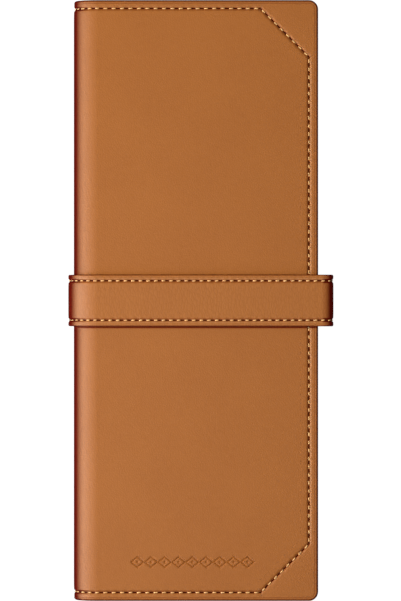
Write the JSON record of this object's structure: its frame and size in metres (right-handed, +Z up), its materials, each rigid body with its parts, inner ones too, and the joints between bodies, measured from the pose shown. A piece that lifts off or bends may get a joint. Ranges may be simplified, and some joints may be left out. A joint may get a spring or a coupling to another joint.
{
  "type": "brush roll case",
  "caption": "Slim tan leather roll case for brushes with stiff covers, a rolled spine, chamfered stitched corners and a broad wrap strap.",
  "frame": {"origin": "middle of the closed case across and along, on the rear face of the strap, which is what it lies on", "axes": "+X from the rolled spine to the closing edge, +Y along the case towards the mouths of the brush channels, +Z up out of the front cover"},
  "size_m": [0.1195, 0.27, 0.027],
  "materials": {
    "tan_leather": "fine grained, semi-matt",
    "strap_leather": "pebbled grain, semi-matt",
    "lining_suede": "brushed, matt",
    "sleeve_cloth": "woven, matt",
    "elastic": "ribbed, matt",
    "board": "grey board",
    "padding": "felt",
    "thread": "waxed thread",
    "magnet": "nickel plated"
  },
  "bodies": {
    "back": {"back_skin": "tan_leather", "back_board": "board", "back_lining": "lining_suede", "back_seam_thread": "thread", "brush_sleeves": "sleeve_cloth", "elastic_loops_lower": "elastic", "elastic_loops_upper": "elastic", "strap_back_face": "strap_leather", "strap_back_backing": "strap_leather", "strap_back_thread": "thread"},
    "spine_1": {"spine_skin_1": "tan_leather", "spine_lining_1": "lining_suede", "strap_link_1": "strap_leather"},
    "spine_2": {"spine_skin_2": "tan_leather", "spine_lining_2": "lining_suede", "strap_link_2": "strap_leather"},
    "spine_3": {"spine_skin_3": "tan_leather", "spine_lining_3": "lining_suede", "strap_link_3": "strap_leather"},
    "spine_4": {"spine_skin_4": "tan_leather", "spine_lining_4": "lining_suede", "strap_link_4": "strap_leather"},
    "spine_5": {"spine_skin_5": "tan_leather", "spine_lining_5": "lining_suede", "strap_link_5": "strap_leather"},
    "cover": {"cover_skin": "tan_leather", "cover_padding": "padding", "cover_board": "board", "cover_lining": "lining_suede", "cover_seam_thread": "thread", "cover_pocket": "sleeve_cloth", "strap_saddle": "strap_leather"},
    "strap_arm": {"arm_face": "strap_leather", "arm_backing": "strap_leather", "arm_thread": "thread"},
    "strap_tail": {"tail_face": "strap_leather", "tail_backing": "strap_leather", "tail_magnet": "magnet"},
    "strap_tab": {"tab_face": "strap_leather", "tab_backing": "strap_leather", "tab_magnet": "magnet"},
    "flap_wall": {"flap_wall": "tan_leather"},
    "flap_panel": {"flap_panel": "tan_leather", "flap_panel_lining": "lining_suede"}
  },
  "joints": [
    {"name": "spine_hinge_1", "type": "hinge", "parent": "back", "child": "spine_1", "pos_m": [-0.04695, 0, 0.0024], "axis": [0, -1, 0], "range_deg": [0, 30]},
    {"name": "spine_hinge_2", "type": "hinge", "parent": "spine_1", "child": "spine_2", "pos_m": [-0.05205, 0, 0.00535], "axis": [0, -1, 0], "range_deg": [0, 30]},
    {"name": "spine_hinge_3", "type": "hinge", "parent": "spine_2", "child": "spine_3", "pos_m": [-0.055, 0, 0.01045], "axis": [0, -1, 0], "range_deg": [0, 30]},
    {"name": "spine_hinge_4", "type": "hinge", "parent": "spine_3", "child": "spine_4", "pos_m": [-0.055, 0, 0.01635], "axis": [0, -1, 0], "range_deg": [0, 30]},
    {"name": "spine_hinge_5", "type": "hinge", "parent": "spine_4", "child": "spine_5", "pos_m": [-0.05205, 0, 0.02145], "axis": [0, -1, 0], "range_deg": [0, 30]},
    {"name": "cover_hinge", "type": "hinge", "parent": "spine_5", "child": "cover", "pos_m": [-0.04695, 0, 0.0244], "axis": [0, -1, 0], "range_deg": [0, 30]},
    {"name": "strap_arm_hinge", "type": "hinge", "parent": "cover", "child": "strap_arm", "pos_m": [-0.03795, 0, 0.027], "axis": [0, -1, 0], "range_deg": [0, 90]},
    {"name": "strap_tail_hinge", "type": "hinge", "parent": "strap_arm", "child": "strap_tail", "pos_m": [0.0607, 0, 0.0258], "axis": [0, -1, 0], "range_deg": [0, 90]},
    {"name": "strap_tab_hinge", "type": "hinge", "parent": "back", "child": "strap_tab", "pos_m": [0.0564, 0, 0.0012], "axis": [0, 1, 0], "range_deg": [0, 90]},
    {"name": "flap_wall_hinge", "type": "hinge", "parent": "back", "child": "flap_wall", "pos_m": [0.0539, 0, 0.0061], "axis": [0, 1, 0], "range_deg": [0, 90]},
    {"name": "flap_panel_hinge", "type": "hinge", "parent": "flap_wall", "child": "flap_panel", "pos_m": [0.0538, 0, 0.0176], "axis": [0, 1, 0], "range_deg": [0, 90]}
  ],
  "couplings": [
    {"joint": "spine_hinge_2", "follows": "spine_hinge_1", "ratio": 1},
    {"joint": "spine_hinge_3", "follows": "spine_hinge_1", "ratio": 1},
    {"joint": "spine_hinge_4", "follows": "spine_hinge_1", "ratio": 1},
    {"joint": "spine_hinge_5", "follows": "spine_hinge_1", "ratio": 1},
    {"joint": "cover_hinge", "follows": "spine_hinge_1", "ratio": 1},
    {"joint": "strap_tab_hinge", "follows": "spine_hinge_1", "ratio": 3},
    {"joint": "flap_wall_hinge", "follows": "spine_hinge_1", "ratio": 3},
    {"joint": "flap_panel_hinge", "follows": "spine_hinge_1", "ratio": 3}
  ]
}
